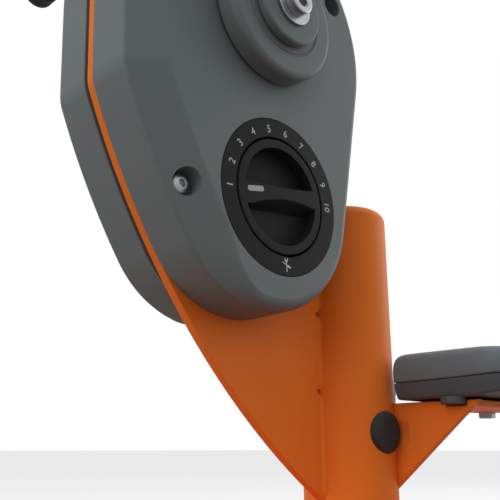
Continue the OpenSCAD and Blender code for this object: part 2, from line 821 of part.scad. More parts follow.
// Share of an inset that the side by the post takes, where the pad rolls over less
post_side = 0.35;
function pad_plan(in) = rounded([
    [pad_x + in, -pad_in_y - in * post_side, pad_r],
    [pad_x + in, -pad_in_y - pad_w + in, pad_far_r - in * 0.8],
    [pad_l - in, -pad_in_y - pad_w + in, pad_far_r - in * 0.8],
    [pad_l - in, -pad_in_y - in * post_side, pad_far_r - in * 0.8]]);
// Height above the pad's underside and inset of the crowned cushion's levels
pad_levels = [[0.2, 0.6], [6, 0], [12, 0.8], [15.8, 3.2], [18, 7.5], [19.4, 14], [pad_t, 24]];
module pad() {
    hull() for (lv = pad_levels)
        translate([0, 0, pad_top - pad_t + lv[0] - 0.02]) linear_extrude(0.02)
            polygon(pad_plan(lv[1]));
}
module pad_front() { color(pad_grey) pad(); }
module pad_rear() { color(pad_grey) mirror([0, 1, 0]) pad(); }

pad_screw_at = [[30, -46], [30, -64], [88, -52], [88, -76]];
boss_at = [8.5, -72.5];
boss_d = 15;
module pad_tray() {
    difference() {
        union() {
            hull() {
                translate([0, 0, pad_bottom]) linear_extrude(0.02) polygon(pad_plan(2.6));
                translate([0, 0, pad_bottom + tray_t - 0.02]) linear_extrude(0.02)
                    polygon(pad_plan(0.4));
            }
            for (p = pad_screw_at) translate([p[0], p[1], pad_bottom - tray_gap])
                cylinder(d = 13, h = tray_gap + 0.5, $fn = 48);
            translate([boss_at[0], boss_at[1], pad_bottom - 4])
                cylinder(d = boss_d, h = 4.5, $fn = 48);
        }
        for (p = pad_screw_at) translate([p[0], p[1], pad_bottom - 3])
            cylinder(d = 6, h = 10, $fn = 48);
    }
}
module pad_tray_front() { color(pad_grey) pad_tray(); }
module pad_tray_rear() { color(pad_grey) mirror([0, 1, 0]) pad_tray(); }

module pad_bracket() {
    top = pad_bottom - tray_gap;
    difference() {
        union() {
            translate([wing_x, 0, 0]) rotate([90, 0, 90]) linear_extrude(wing_t)
                polygon([[-20, top], [-87, top], [-20, top - 57]]);
            translate([0, 0, top - flange_t]) linear_extrude(flange_t)
                polygon(rounded([[wing_x, -20, 0], [wing_x, -86, 0], [100, -86, 10],
                    [100, -42, 10], [wing_x + 20, -20, 6]]));
        }
        cylinder(r = post_r + 0.1, h = 300, $fn = 128);
        bar_y(0, bolt_z, cap_d + 1, -pad_in_y - 2, 0);
        translate([boss_at[0], boss_at[1], pad_bottom - 5]) cylinder(d = boss_d + 1, h = 9, $fn = 48);
        for (p = pad_screw_at) translate([p[0], p[1], top - 10])
            cylinder(d = 6.6, h = 20, $fn = 48);
    }
}
module pad_bracket_front() { color(orange) pad_bracket(); }
module pad_bracket_rear() { color(orange) mirror([0, 1, 0]) pad_bracket(); }

module pad_screws() {
    top = pad_bottom - tray_gap;
    color(steel) both_sides() for (p = pad_screw_at)
        translate([p[0], p[1], top - flange_t]) {
            cylinder(d = 5.9, h = 12, $fn = 48);
            translate([0, 0, -4]) cylinder(d = 11, h = 4, $fn = 6);
        }
}

// ---- Cross bolt that pins the frame plate's lower tab in the post ----

cap_d = 27;
module cross_bolt() {
    color(steel) bar_y(0, bolt_z, 10, -post_r - 2, post_r + 2);
}

module cross_bolt_caps() {
    h = 6.5;
    seat = post_r - 3.2;
    color(rubber_black) both_sides() difference() {
        translate([0, -seat, bolt_z]) rotate([90, 0, 0]) rotate_extrude($fn = 72)
            polygon(concat([[0, 0], [cap_d / 2, 0]],
                [for (a = [0:18:90]) [cap_d / 2 - 6 + 6 * cos(a), h - 2.8 + 6 * sin(a)]],
                [[0, h + 3.2]]));
        cylinder(r = post_r + 0.05, h = 300, $fn = 128);
        bar_y(0, bolt_z, 10, -post_r - 2, 0);
    }
}

base_plate();
foot_ribs();
post_tube();
post_cap();
frame_plate();
pivot_tube();
pivot_bushes();
housing_front();
housing_rear();
housing_pillars();
housing_screws();
dial_ring();
dial_knob();
dial_pointer();
dial_spindle();
spindle_bush();
detent_disc();
detent_spring();
anchor_slide();
anchor_pin();
guide_screws();
load_spring();
spring_arm();
arm_pin();
stop_bumpers();
pivot_shaft();
shaft_collar();
hub_front();
hub_rear();
hub_bolts();
lever_front();
lever_rear();
grip_rods();
moving_grip_front();
moving_grip_rear();
moving_grip_caps();
handle_bar();
fixed_grip_front();
fixed_grip_rear();
handle_plugs();
pad_front();
pad_rear();
pad_tray_front();
pad_tray_rear();
pad_bracket_front();
pad_bracket_rear();
pad_screws();
cross_bolt();
cross_bolt_caps();
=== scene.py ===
import math

import bmesh
import bpy
from mathutils import Matrix, Vector


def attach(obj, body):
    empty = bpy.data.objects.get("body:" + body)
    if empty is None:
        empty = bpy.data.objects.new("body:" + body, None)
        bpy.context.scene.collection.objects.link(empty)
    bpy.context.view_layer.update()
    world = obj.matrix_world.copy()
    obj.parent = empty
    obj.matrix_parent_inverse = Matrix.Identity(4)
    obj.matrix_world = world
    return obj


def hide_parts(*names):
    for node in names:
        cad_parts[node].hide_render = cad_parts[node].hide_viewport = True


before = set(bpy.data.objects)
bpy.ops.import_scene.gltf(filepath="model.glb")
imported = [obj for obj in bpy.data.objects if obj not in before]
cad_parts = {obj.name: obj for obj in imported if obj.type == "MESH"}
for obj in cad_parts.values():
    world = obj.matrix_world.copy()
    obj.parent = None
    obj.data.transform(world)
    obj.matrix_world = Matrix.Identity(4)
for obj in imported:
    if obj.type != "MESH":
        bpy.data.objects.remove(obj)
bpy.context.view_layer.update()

# ---- Base plate ----
# A steel plate cut to shape, with its corners rounded and its edges broken, powder coated
# orange. Four bolts hold it to the bench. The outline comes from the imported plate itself.


def flat_outlines(node, axis, level):
    """Closed outlines, in millimetres, of a node's flat face at that level along X, Y or Z."""
    bm = bmesh.new()
    bm.from_mesh(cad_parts[node].data)
    bmesh.ops.remove_doubles(bm, verts=bm.verts, dist=2e-6)
    k = "XYZ".index(axis)
    flat = {f for f in bm.faces if abs(f.normal[k]) > 0.999
            and abs(f.calc_center_median()[k] * 1000 - level) < 0.02}
    rim = [e for e in bm.edges if sum(f in flat for f in e.link_faces) == 1]
    beside = {}
    for e in rim:
        for v in e.verts:
            beside.setdefault(v, []).append(e)
    used = set()
    loops = []
    across = [i for i in range(3) if i != k]
    for start in rim:
        if start in used:
            continue
        used.add(start)
        chain = [start.verts[0], start.verts[1]]
        while chain[-1] is not chain[0]:
            step = [e for e in beside[chain[-1]] if e not in used]
            if not step:
                break
            used.add(step[0])
            chain.append(step[0].other_vert(chain[-1]))
        points = [Vector((v.co[across[0]], v.co[across[1]])) * 1000 for v in chain[:-1]]
        kept = []
        for i, p in enumerate(points):
            a = p - points[i - 1]
            b = points[(i + 1) % len(points)] - p
            if a.length > 1e-4 and b.length > 1e-4 and a.angle(b) > 0.002:
                kept.append(p)
        if len(kept) > 2:
            loops.append(kept)
    bm.free()
    return loops


def cut_plate(outlines, axis, low, high, edge):
    """Mesh of a plate with those outlines, from low to high along the axis, edges rounded."""
    curve = bpy.data.curves.new("cut", "CURVE")
    curve.dimensions = "2D"
    curve.fill_mode = "BOTH"
    curve.extrude = max((high - low) / 2 - edge, 0.001)
    curve.bevel_depth = edge
    curve.bevel_resolution = 3
    curve.offset = -edge
    for loop in outlines:
        line = curve.splines.new("POLY")
        line.points.add(len(loop) - 1)
        for point, p in zip(line.points, loop):
            point.co = (p[0], p[1], 0, 1)
        line.use_cyclic_u = True
    holder = bpy.data.objects.new("cut", curve)
    bpy.context.scene.collection.objects.link(holder)
    seen = holder.evaluated_get(bpy.context.evaluated_depsgraph_get())
    mesh = bpy.data.meshes.new_from_object(seen)
    bpy.data.objects.remove(holder)
    bpy.data.curves.remove(curve)
    stand = {"X": Matrix(((0, 0, 1), (1, 0, 0), (0, 1, 0))),
             "Y": Matrix(((1, 0, 0), (0, 0, -1), (0, 1, 0))),
             "Z": Matrix.Identity(3)}[axis].to_4x4()
    middle = Vector([(low + high) / 2 if axis == a else 0 for a in "XYZ"])
    mesh.transform(Matrix.Scale(0.001, 4) @ Matrix.Translation(middle) @ stand)
    bm = bmesh.new()
    bm.from_mesh(mesh)
    bmesh.ops.remove_doubles(bm, verts=bm.verts, dist=1e-6)
    bmesh.ops.recalc_face_normals(bm, faces=bm.faces)
    bm.to_mesh(mesh)
    bm.free()
    return mesh


def assemble(name, meshes, finish, body, nodes, sharp=40):
    """One piece from its meshes: smooth where it curves, finished, on its body."""
    bm = bmesh.new()
    for mesh in meshes:
        bm.from_mesh(mesh)
    made = bpy.data.meshes.new(name)
    bm.to_mesh(made)
    bm.free()
    for mesh in set(meshes):
        bpy.data.meshes.remove(mesh)
    made.materials.clear()
    made.materials.append(finish)
    made.polygons.foreach_set("use_smooth", [True] * len(made.polygons))
    made.set_sharp_from_angle(angle=math.radians(sharp))
    piece = bpy.data.objects.new(name, made)
    bpy.context.scene.collection.objects.link(piece)
    even = piece.modifiers.new("even_normals", "WEIGHTED_NORMAL")
    even.keep_sharp = True
    even.weight = 80
    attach(piece, body)
    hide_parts(*nodes)
    return piece


def colour(r, g, b):
    """A display colour, 0 to 255, as the linear colour that a shader takes."""
    return tuple((c / 255 / 12.92 if c <= 10 else ((c / 255 + 0.055) / 1.055) ** 2.4)
                 for c in (r, g, b)) + (1.0,)


def grained(name, tone, mottle, patch_mm, rough, rough_swing, grain_mm, relief_mm,
            metal=0.0, specular=0.5):
    """A finish: a tone that drifts between two shades, an uneven gloss and a fine relief."""
    m = bpy.data.materials.new(name)
    m.use_nodes = True
    n = m.node_tree.nodes
    link = m.node_tree.links.new
    shader = n["Principled BSDF"]
    shader.inputs["Metallic"].default_value = metal
    shader.inputs["Specular IOR Level"].default_value = specular
    place = n.new("ShaderNodeTexCoord")
    patches = n.new("ShaderNodeTexNoise")
    patches.inputs["Scale"].default_value = 1000 / patch_mm
    patches.inputs["Detail"].default_value = 4
    shade = n.new("ShaderNodeValToRGB")
    shade.color_ramp.elements[0].position = 0.3
    shade.color_ramp.elements[1].position = 0.7
    shade.color_ramp.elements[0].color = tuple(c * (1 - mottle) for c in tone[:3]) + (1,)
    shade.color_ramp.elements[1].color = tuple(min(1, c * (1 + mottle)) for c in tone[:3]) + (1,)
    gloss = n.new("ShaderNodeMapRange")
    gloss.inputs["To Min"].default_value = rough - rough_swing
    gloss.inputs["To Max"].default_value = rough + rough_swing
    grain = n.new("ShaderNodeTexNoise")
    grain.inputs["Scale"].default_value = 1000 / grain_mm
    grain.inputs["Detail"].default_value = 3
    relief = n.new("ShaderNodeBump")
    relief.inputs["Distance"].default_value = relief_mm / 1000
    relief.inputs["Strength"].default_value = 1
    link(place.outputs["Object"], patches.inputs["Vector"])
    link(place.outputs["Object"], grain.inputs["Vector"])
    link(patches.outputs["Fac"], shade.inputs["Fac"])
    link(shade.outputs["Color"], shader.inputs["Base Color"])
    link(grain.outputs["Fac"], gloss.inputs["Value"])
    link(gloss.outputs["Result"], shader.inputs["Roughness"])
    link(grain.outputs["Fac"], relief.inputs["Height"])
    link(relief.outputs["Normal"], shader.inputs["Normal"])
    return m


orange_paint = grained("orange_powder_coat", colour(225, 115, 38), mottle=0.03, patch_mm=70,
                       rough=0.5, rough_swing=0.05, grain_mm=0.9, relief_mm=0.01,
                       specular=0.1)
assemble("base_plate", [cut_plate(flat_outlines("base_plate", "Z", 10),
                                  "Z", 0, 10, 1.2)],
         orange_paint, "frame", ["base_plate"])

# ---- Foot ribs ----
# Four steel gussets, welded upright between the base plate and the foot of the post. A bead
# of weld runs round the post between them, and all of it is coated with the plate.

POST_R = 30.15
RIB_T = 5.0
BASE_TOP = 10.0


def turned(profile, centre, axis, steps=96):
    """Mesh turned from (radius, distance) points, in millimetres, about a centre and axis."""
    bm = bmesh.new()
    rings = []
    for r, h in profile:
        if r < 1e-6:
            rings.append([bm.verts.new((0, 0, h))])
        else:
            rings.append([bm.verts.new((r * math.cos(math.tau * i / steps),
                                        r * math.sin(math.tau * i / steps), h))
                          for i in range(steps)])
    closed = profile[0][0] > 1e-6 and profile[-1][0] > 1e-6
    pairs = list(zip(rings, rings[1:])) + ([(rings[-1], rings[0])] if closed else [])
    for a, b in pairs:
        if len(a) == 1 and len(b) == 1:
            continue
        for i in range(steps):
            j = (i + 1) % steps
            if len(a) == 1:
                bm.faces.new((a[0], b[j], b[i]))
            elif len(b) == 1:
                bm.faces.new((a[i], a[j], b[0]))
            else:
                bm.faces.new((a[i], a[j], b[j], b[i]))
    bmesh.ops.recalc_face_normals(bm, faces=bm.faces)
    mesh = bpy.data.meshes.new("turned")
    bm.to_mesh(mesh)
    bm.free()
    aim = Vector(axis).to_track_quat("Z", "Y").to_matrix().to_4x4()
    mesh.transform(Matrix.Scale(0.001, 4) @ Matrix.Translation(Vector(centre)) @ aim)
    return mesh


def eased(points, steps=6):
    """Profile points (radius, distance, corner radius) with the corners rounded off."""
    out = []
    for i, (r, h, ease) in enumerate(points):
        here = Vector((r, h))
        if ease <= 0:
            out.append((r, h))
            continue
        back = Vector(points[i - 1][:2]) - here
        on = Vector(points[(i + 1) % len(points)][:2]) - here
        half = back.angle(on) / 2
        reach = min(ease / math.tan(half), back.length * 0.49, on.length * 0.49)
        ease = reach * math.tan(half)
        middle = here + (back.normalized() + on.normalized()).normalized() * ease / math.sin(half)
        a = here + back.normalized() * reach - middle
        b = here + on.normalized() * reach - middle
        turn = a.angle_signed(b)
        for s in range(steps + 1):
            p = a.copy()
            p.rotate(Matrix.Rotation(-turn * s / steps, 2))
            out.append(tuple(middle + p))
    return out


ribs = []
for angle in (45, 135, 225, 315):
    rib = cut_plate([[(29.0, 9.0), (70.15, 9.0), (70.15, 16.0), (30.27, 56.0), (29.0, 56.0)]],
                    "Y", -RIB_T / 2, RIB_T / 2, 0.8)
    rib.transform(Matrix.Rotation(math.radians(angle), 4, "Z"))
    ribs.append(rib)
bead = turned([(POST_R - 1, BASE_TOP - 1), (POST_R + 4.2, BASE_TOP - 1), (POST_R + 3.6, 11.0),
               (POST_R + 1.9, 12.2), (POST_R + 0.9, 13.6), (POST_R - 1, 14.6)],
              (0, 0, 0), (0, 0, 1))
assemble("foot_ribs", ribs + [bead], orange_paint, "frame", ["foot_ribs"])

# ---- Post ----
# A round steel tube with a rounded cap pressed in and welded, ground flush and coated, so
# that tube and cap read as one piece. The frame plate is welded into slots in its side.

POST_TOP = 261.0
assemble("post", [turned(eased([(0, POST_TOP, 0), (POST_R, POST_TOP, 7.0),
                                (POST_R, BASE_TOP - 0.5, 0), (0, BASE_TOP - 0.5, 0)], 12),
                         (0, 0, 0), (0, 0, 1), 160)],
         orange_paint, "frame", ["post_tube", "post_cap"])

# ---- Frame plate ----
# One steel plate, cut to shape, that carries the casing, the pivot and the handle bar. Its
# edges are broken by tumbling. A thin bead of weld joins it to the post on both faces.

PLATE_T = 6.0
plate = cut_plate(flat_outlines("frame_plate", "Y", PLATE_T / 2), "Y", -PLATE_T / 2,
                  PLATE_T / 2, 0.5)


def seam(z0, z1, side):
    """A concave bead of weld down the corner between the plate and the post."""
    leg = 2.2
    bm = bmesh.new()
    sections = []
    steps = max(8, int((z1 - z0) / 1.5))
    for i in range(steps + 1):
        z = z0 + (z1 - z0) * i / steps
        end = min(1.0, min(z - z0, z1 - z) / 3 + 0.15)
        size = leg * end * (1 + 0.06 * math.sin(z * 2.3))
        corner = Vector((-math.sqrt(POST_R ** 2 - (PLATE_T / 2) ** 2), side * PLATE_T / 2))
        row = []
        for k in range(5):
            t = k / 4
            x = corner.x - size * (1 - t) ** 1.6
            y = corner.y + side * size * t ** 1.6
            row.append(bm.verts.new((x, y, z)))
        row.append(bm.verts.new((corner.x + 1.5, corner.y + side * size, z)))
        row.append(bm.verts.new((corner.x + 1.5, corner.y - side * 1.0, z)))
        row.append(bm.verts.new((corner.x - size, corner.y - side * 1.0, z)))
        sections.append(row)
    for a, b in zip(sections, sections[1:]):
        for k in range(len(a)):
            j = (k + 1) % len(a)
            bm.faces.new((a[k], a[j], b[j], b[k]))
    bm.faces.new(sections[0])
    bm.faces.new(list(reversed(sections[-1])))
    bmesh.ops.recalc_face_normals(bm, faces=bm.faces)
    mesh = bpy.data.meshes.new("seam")
    bm.to_mesh(mesh)
    bm.free()
    mesh.transform(Matrix.Scale(0.001, 4))
    return mesh


welds = [seam(z0, z1, side) for z0, z1 in ((74.5, 134), (140.5, 183.5), (190, 238))
         for side in (-1, 1)]
assemble("frame_plate", [plate] + welds, orange_paint, "frame",
         ["frame_plate"])

# ---- Casing shells ----
# Two shells moulded in a tough grey plastic, one on each face of the frame plate. The edge
# is rounded all round, and at the left it opens into a broad soft chamfer. Each shell has
# three deep screw wells, and the front one has a seat for the dial and a slot at its right.

DIAL_X = -103.0
DIAL_Z = 240.0
FACE_Y = 39.1
WALL = 3.0
CASING_ARCS = ((-5.5, 0.62, 66.5, 213.52, 349.4, 60), (-12.9, 110, 93.9, -10.6, 182.2, 84),
               (-78.5, 52.66, 26, 182.2, 202.09, 12), (312.9, 211.5, 448.4, 202.09, 213.52, 16))
EDGE_LEVELS = ((0, 7, 24.2), (0.1, 6.3, 23.3), (0.3, 5.4, 22.3), (0.7, 4.2, 21.0),
               (1.5, 3.0, 18.7), (2.6, 2.1, 15.5), (4.0, 1.2, 11.5), (5.6, 0.56, 6.9),
               (7.0, 0.24, 2.9), (7.6, 0.16, 1.35), (8.2, 0.1, 0.5), (9.0, 0.03, 0.12),
               (10.5, -0.02, 0.0), (15, -0.12, -0.05), (20, -0.2, -0.2))
BAND_MOST = 25.6
SCREW_WELLS = ((-65.1, -7.3), (-72, 150), (52, 150))
WELL_R = 7.5
SCREW_SEAT = 27.8


def ramp(t):
    t = min(1, max(0, t))
    return t * t * (3 - 2 * t)


def casing_outline(rim, band):
    """The casing's outline, its normal arcs drawn in by rim, and by band on the left."""
    points = []
    for cx, cz, radius, start, end, steps in CASING_ARCS:
        for i in range(steps + 1):
            a = start + (end - start) * i / steps
            t = (a + 360) % 360
            share = ramp((t - 40) / 60) * ramp((265 - t) / 50)
            r = radius - rim - (band - rim) * share
            points.append((DIAL_X + cx + r * math.cos(math.radians(a)),
                           DIAL_Z + cz + r * math.sin(math.radians(a))))
    return points


def casing_face(draw):
    """Rows of the casing's face and edge, drawn in all round, as (y, rim, band)."""
    return [(-FACE_Y + d + draw, rim + draw, min(band + draw, BAND_MOST))
            for d, rim, band in EDGE_LEVELS]


def lofted(rows):
    """Closed mesh through the casing's outline, drawn in as each row says."""
    bm = bmesh.new()
    rings = [[bm.verts.new((x, y, z)) for x, z in casing_outline(rim, band)]
             for y, rim, band in rows]
    count = len(rings[0])
    for a, b in zip(rings, rings[1:]):
        for i in range(count):
            j = (i + 1) % count
            bm.faces.new((a[i], a[j], b[j], b[i]))
    bm.faces.new(rings[0])
    bm.faces.new(list(reversed(rings[-1])))
    bmesh.ops.remove_doubles(bm, verts=bm.verts, dist=0.002)
    bmesh.ops.recalc_face_normals(bm, faces=bm.faces)
    mesh = bpy.data.meshes.new("casing")
    bm.to_mesh(mesh)
    bm.free()
    mesh.transform(Matrix.Scale(0.001, 4))
    return mesh


def casing_loft(gap):
    """Thin walled shell, open towards the plate, with its open edge a gap off the plate."""
    lip = -PLATE_T / 2 - gap
    rows = casing_face(0)
    rows += [(lip - 0.35, -0.4, -0.4), (lip - 0.1, -0.3, -0.3), (lip, -0.05, -0.05)]
    rows += [(lip, WALL - 0.5, WALL - 0.5)]
    return lofted(rows + casing_face(WALL)[::-1])


def merged(mesh, reach):
    """The mesh with points closer than the reach joined, and the slits this leaves closed."""
    bm = bmesh.new()
    bm.from_mesh(mesh)
    bmesh.ops.remove_doubles(bm, verts=bm.verts, dist=reach)
    bmesh.ops.dissolve_degenerate(bm, edges=bm.edges, dist=reach)
    bmesh.ops.holes_fill(bm, edges=[e for e in bm.edges if e.is_boundary], sides=0)
    bm.to_mesh(mesh)
    bm.free()
    return mesh


def carve(mesh, tools, how="DIFFERENCE"):
    """The mesh with each tool mesh cut away from it, or joined to it or kept in common."""
    block = bpy.data.objects.new("block", mesh)
    bpy.context.scene.collection.objects.link(block)
    helpers = []
    for tool in tools:
        cutter = bpy.data.objects.new("cutter", tool)
        bpy.context.scene.collection.objects.link(cutter)
        helpers.append(cutter)
        cut = block.modifiers.new("cut", "BOOLEAN")
        cut.object = cutter
        cut.operation = how
        cut.solver = "EXACT"
    seen = block.evaluated_get(bpy.context.evaluated_depsgraph_get())
    made = bpy.data.meshes.new_from_object(seen)
    for o in [block] + helpers:
        old = o.data
        bpy.data.objects.remove(o)
        bpy.data.meshes.remove(old)
    return merged(made, 4e-6)


def shaft_bore():
    """Tool that bores a shell's face where the pivot's shaft comes out of it."""
    return turned([(0, 2), (11, 2), (11, -6), (0, -6)], (DIAL_X - 10.2, -FACE_Y, DIAL_Z + 110),
                  (0, -1, 0), 64)


def well_tool(place):
    """Tool that bores a screw well, from the casing's face in to the screw's seat and hole."""
    depth = FACE_Y - SCREW_SEAT
    profile = [(0, 3.0), (WELL_R + 0.5, 3.0), (WELL_R + 0.5, 0.0), (WELL_R + 0.15, -0.15),
               (WELL_R, -0.5)]
    profile += eased([(WELL_R, -1, 0), (WELL_R, -depth, 0.6), (3.3, -depth, 0),
                      (3.3, -depth - 5, 0), (0, -depth - 5, 0)])[1:]
    return turned(profile, (DIAL_X + place[0], -FACE_Y, DIAL_Z + place[1]), (0, -1, 0), 96)


def well_tube(place):
    """The tube that the well is bored into, kept within the shell where the band slopes."""
    foot = SCREW_SEAT - FACE_Y - 3
    tube = turned([(0, -1.0), (WELL_R + 3, -1.0), (WELL_R + 3, foot), (0, foot)],
                  (DIAL_X + place[0], -FACE_Y, DIAL_Z + place[1]), (0, -1, 0), 72)
    return carve(tube, [lofted(casing_face(1.2))], "INTERSECT")


shell_plastic = grained("casing_plastic", colour(99, 106, 106), mottle=0.03, patch_mm=90,
                        rough=0.56, rough_swing=0.05, grain_mm=0.55, relief_mm=0.02,
                        specular=0.25)
front = casing_loft(0.3)
seat_boss = turned([(0, -1), (50, -1), (50, -6.1), (0, -6.1)], (DIAL_X, -FACE_Y, DIAL_Z),
                   (0, -1, 0), 160)
seat_boss = carve(seat_boss, [lofted(casing_face(1.2))], "INTERSECT")
front = carve(front, [seat_boss] + [well_tube(p) for p in SCREW_WELLS], "UNION")
dial_seat = turned([(0, 4.0), (46.4, 4.0), (46.4, 0.0), (46.25, -0.1), (46.2, -0.3),
                    (46.2, -3.0), (37.4, -3.0), (37.4, -8.0), (0, -8.0)],
                   (DIAL_X, -FACE_Y, DIAL_Z), (0, -1, 0), 160)
slot = cut_plate([[(-30, 241), (-28, 241), (-28, 255), (-30, 255)]], "X", -45, -37, 0.4)
front = carve(front, [dial_seat, shaft_bore(), slot] + [well_tool(p) for p in SCREW_WELLS])
assemble("casing_front", [front], shell_plastic, "frame", ["housing_front"],
         32)

rear = casing_loft(1.4)
rear = carve(rear, [well_tube(p) for p in SCREW_WELLS], "UNION")
rear = carve(rear, [well_tool(p) for p in SCREW_WELLS] + [shaft_bore()])
rear.transform(Matrix.Scale(-1, 4, (0, 1, 0)))
rear.flip_normals()
assemble("casing_rear", [rear], shell_plastic, "frame", ["housing_rear"],
         32)

# ---- Casing screws ----
# Bright steel button heads with a hexagon socket, one at the bottom of each well. They draw
# the two shells onto threaded spacers that pass through the frame plate.

bright_steel = grained("bright_steel", colour(160, 162, 164), mottle=0.05, patch_mm=14,
                       rough=0.33, rough_swing=0.05, grain_mm=2.4, relief_mm=0.001, metal=1.0)


def hexagon(across_flats, low, high, centre, axis):
    """Mesh of a hexagonal bar, which a socket is cut with or a nut is made of."""
    return turned([(0, low), (across_flats / math.sqrt(3), low),
                   (across_flats / math.sqrt(3), high), (0, high)], centre, axis, 6)


def button_screw(x, z, side):
    """One screw: its domed head, with a socket, and the start of its shank."""
    seat = (x, side * SCREW_SEAT, z)
    out = (0, side, 0)
    head = turned(eased([(0, 3.6, 0), (3.1, 3.6, 1.0), (5.5, 2.5, 2.0), (6.2, 0.9, 0.8),
                         (6.2, 0, 0.2), (2.95, 0, 0), (2.95, -6, 0), (0, -6, 0)]), seat, out, 72)
    lead = turned([(0, 3.8), (2.6, 3.8), (2.25, 3.3), (0, 2.2)], seat, out, 48)
    return carve(head, [hexagon(4.0, 1.4, 6, seat, out), lead])


screws = [button_screw(DIAL_X + x, DIAL_Z + z, side) for x, z in SCREW_WELLS for side in (-1, 1)]
assemble("casing_screws", screws, bright_steel, "frame", ["housing_screws"],
         28)
zinc_steel = grained("zinc_plated_steel", colour(150, 152, 150), mottle=0.08, patch_mm=9,
                     rough=0.4, rough_swing=0.09, grain_mm=1.1, relief_mm=0.01, metal=1.0)


def dress(node, finish):
    """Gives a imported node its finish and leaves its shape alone."""
    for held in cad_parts[node].material_slots:
        held.material = finish
    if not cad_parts[node].material_slots:
        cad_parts[node].data.materials.append(finish)


dress("housing_pillars", zinc_steel)

# ---- Dial ring ----
# A black moulded cup that drops into the casing from the front. Its flange lies flush with
# the face and carries the numbers 1 to 10, and a crossed spanner and screwdriver that mark
# the service stop.

RING_R = 46.0
KNOB_R = 33.8
RING_LEAN = 4.6
dial_plastic = grained("dial_plastic", colour(34, 34, 35), mottle=0.04, patch_mm=30,
                       rough=0.5, rough_swing=0.05, grain_mm=0.4, relief_mm=0.01, specular=0.06)
cup = turned(eased([(RING_R, 0, 0.5), (RING_R, -3, 0.3), (37.2, -3, 0), (37.2, -15.1, 0.5),
                    (5.05, -15.1, 0), (5.05, -13.1, 0), (35.0, -13.1, 0.5), (35.0, 0, 0.3)]),
             (DIAL_X, -FACE_Y, DIAL_Z), (0, -1, 0), 192)
assemble("dial_ring", [cup], dial_plastic, "frame", ["dial_ring"], 30)

print_grey = grained("printed_marks", colour(176, 178, 178), mottle=0.03, patch_mm=6,
                     rough=0.5, rough_swing=0.04, grain_mm=0.3, relief_mm=0.004)
NUMBER_R = 39.6
NUMBER_STEP = 20
NUMBER_H = 4.6


def on_ring(mesh, angle, radius):
    """Lays a flat mark, drawn upright in millimetres, on the ring with its top outwards."""
    turn = math.radians(angle)
    outwards = Vector((math.cos(turn), 0, math.sin(turn)))
    along = Vector((math.sin(turn), 0, -math.cos(turn)))
    towards = Vector((0, -1, 0))
    stand = Matrix((along, outwards, towards)).transposed().to_4x4()
    place = Vector((DIAL_X, -FACE_Y, DIAL_Z)) + outwards * radius
    mesh.transform(Matrix.Scale(0.001, 4) @ Matrix.Translation(place) @ stand)
    return mesh


def number(text):
    """A thin printed number, centred, in millimetres."""
    letters = bpy.data.curves.new("number", "FONT")
    letters.body = text
    letters.size = NUMBER_H / 0.72
    letters.align_x = "CENTER"
    letters.align_y = "CENTER"
    letters.extrude = 0.04
    letters.resolution_u = 4
    holder = bpy.data.objects.new("number", letters)
    bpy.context.scene.collection.objects.link(holder)
    seen = holder.evaluated_get(bpy.context.evaluated_depsgraph_get())
    mesh = bpy.data.meshes.new_from_object(seen)
    bpy.data.objects.remove(holder)
    return merged(mesh, 1e-4)


marks = [on_ring(number(str(i + 1)), 180 + RING_LEAN - NUMBER_STEP * i, NUMBER_R) for i in range(10)]


def spanner():
    """A small open-ended spanner crossed with a screwdriver, flat, in millimetres."""
    jaw = [(-0.35, -3.9), (0.35, -3.9), (0.35, 1.5), (1.3, 2.3), (1.25, 3.7), (0.65, 3.9),
           (0.6, 2.7), (-0.6, 2.7), (-0.65, 3.9), (-1.25, 3.7), (-1.3, 2.3), (-0.35, 1.5)]
    driver = [(-0.25, -0.6), (-0.25, 3.6), (0.25, 3.6), (0.25, -0.6), (0.6, -0.9), (0.6, -3.5),
              (-0.6, -3.5), (-0.6, -0.9)]
    shapes = []
    for outline, tilt in ((jaw, 180), (driver, -115)):
        mesh = cut_plate([outline], "Z", -0.05, 0.05, 0.02)
        mesh.transform(Matrix.Scale(1000, 4))
        mesh.transform(Matrix.Rotation(math.radians(tilt), 4, "Z"))
        shapes.append(mesh)
    return shapes


marks += [on_ring(m, 270 + RING_LEAN, NUMBER_R) for m in spanner()]
assemble("dial_marks", marks, print_grey, "frame", [])

# ---- Dial knob ----
# A black moulded knob, flush with the ring. A finger scoop on each side leaves a grip bar
# between them, pinched in the middle. Their floors are dished into the walls all round.

KNOB_LEAN = 6.5
SCOOP_R = 28.6
SCOOP_DEPTH = 8.5
BAR_FOOT = 7.4
KNOB_DEPTH = 12.0


def bar_wall(x, depth, pinch, cut):
    """Half width of the bar at that place and depth; its foot is wide enough for the spindle."""
    top = min(pinch + (x - 6) ** 2 / (2 * cut), BAR_FOOT - 0.2)
    wall = top + (BAR_FOOT - top) * depth / SCOOP_DEPTH
    if depth < 0.5:
        wall -= (0.5 - math.sqrt(max(0, 0.25 - (0.5 - depth) ** 2))) * 0.8
    foot = SCOOP_DEPTH - depth
    if foot < 0.6:
        wall += (0.6 - foot) ** 2
    return wall


